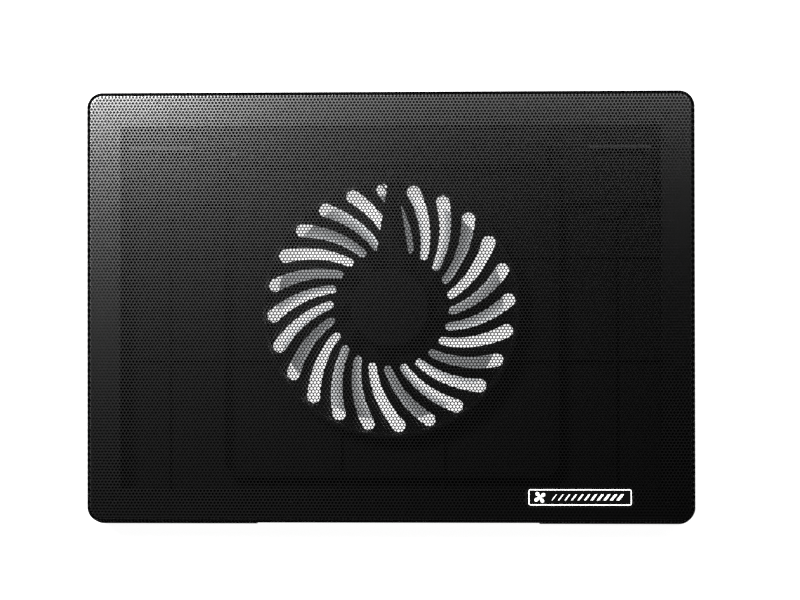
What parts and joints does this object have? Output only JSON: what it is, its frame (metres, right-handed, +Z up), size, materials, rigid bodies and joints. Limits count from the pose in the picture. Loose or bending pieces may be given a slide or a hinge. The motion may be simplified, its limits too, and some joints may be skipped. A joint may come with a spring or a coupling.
{
  "type": "laptop cooling pad",
  "caption": "Flat laptop cooling pad: perforated steel top over one large fan, swirl grille below, fold-down rear legs, rear switch and stowed cable.",
  "frame": {"origin": "on the desk plane, under the fan's axis, which is the middle of the pad's outline", "axes": "+X to the user's right along the pad's length, +Y to the rear edge, +Z up from the desk to the laptop"},
  "size_m": [0.35, 0.249, 0.025],
  "materials": {
    "sheet_steel": "satin black powder coat",
    "badge_gloss": "gloss black with white relief",
    "frame_plastic": "fine grain",
    "housing_plastic": "fine spark-eroded grain",
    "bracket_plastic": "smooth moulded",
    "sleeve_bronze": "sintered, oiled",
    "white_nylon": "smooth moulded",
    "bright_steel": "ground",
    "board_green": "solder mask",
    "chip_black": "moulded",
    "core_steel": "stacked laminations",
    "copper_wire": "enamelled wire",
    "bonded_magnet": "bonded ferrite strip",
    "yoke_steel": "drawn, plated",
    "smoke_plastic": "see-through smoke tint",
    "switch_plastic": "smooth moulded",
    "terminal_brass": "tinned",
    "cable_jacket": "extruded jacket",
    "grip_plastic": "soft moulded",
    "contact_gold": "gold plated",
    "wire_black": "extruded insulation",
    "leg_plastic": "smooth moulded",
    "foot_rubber": "matte",
    "black_steel": "black zinc"
  },
  "bodies": {
    "base": {"mesh_panel": "sheet_steel", "badge_plate": "badge_gloss", "support_frame": "frame_plastic", "base_shell": "housing_plastic", "fan_bracket": "bracket_plastic", "bearing_sleeve": "sleeve_bronze", "bearing_cap": "housing_plastic", "thrust_washer": "white_nylon", "motor_board": "board_green", "motor_chips": "chip_black", "stator_core": "core_steel", "stator_insulators": "white_nylon", "stator_windings": "copper_wire", "switch_housing": "switch_plastic", "switch_terminals": "terminal_brass", "switch_screws": "bright_steel", "usb_cable": "cable_jacket", "cable_grommet": "foot_rubber", "plug_grip": "grip_plastic", "plug_shell": "bright_steel", "plug_tongue": "white_nylon", "plug_contacts": "contact_gold", "fan_wire_positive": "wire_black", "fan_wire_negative": "wire_black", "switch_wire": "wire_black", "right_foot_pin": "bright_steel", "left_foot_pin": "bright_steel", "front_rubber_feet": "foot_rubber", "rear_rubber_feet": "foot_rubber", "case_screws": "black_steel", "bracket_screws": "black_steel"},
    "rotor": {"fan_impeller": "smoke_plastic", "rotor_yoke": "yoke_steel", "rotor_magnet": "bonded_magnet", "rotor_shaft": "bright_steel", "shaft_clip": "bright_steel"},
    "right_leg": {"right_flip_foot": "leg_plastic", "right_foot_tip": "foot_rubber"},
    "left_leg": {"left_flip_foot": "leg_plastic", "left_foot_tip": "foot_rubber"},
    "power_slider": {"switch_slider": "switch_plastic"}
  },
  "joints": [
    {"name": "fan_spin", "type": "hinge", "parent": "base", "child": "rotor", "pos_m": [0, 0, 0.0135], "axis": [0, 0, 1], "continuous": true},
    {"name": "right_leg_fold", "type": "hinge", "parent": "base", "child": "right_leg", "pos_m": [0.126, 0.097, 0.0064], "axis": [1, 0, 0], "range_deg": [0, 105]},
    {"name": "left_leg_fold", "type": "hinge", "parent": "base", "child": "left_leg", "pos_m": [-0.126, 0.097, 0.0064], "axis": [1, 0, 0], "range_deg": [0, 105]},
    {"name": "power_slide", "type": "slide", "parent": "base", "child": "power_slider", "axis": [1, 0, 0], "range_m": [0, 0.004]}
  ]
}
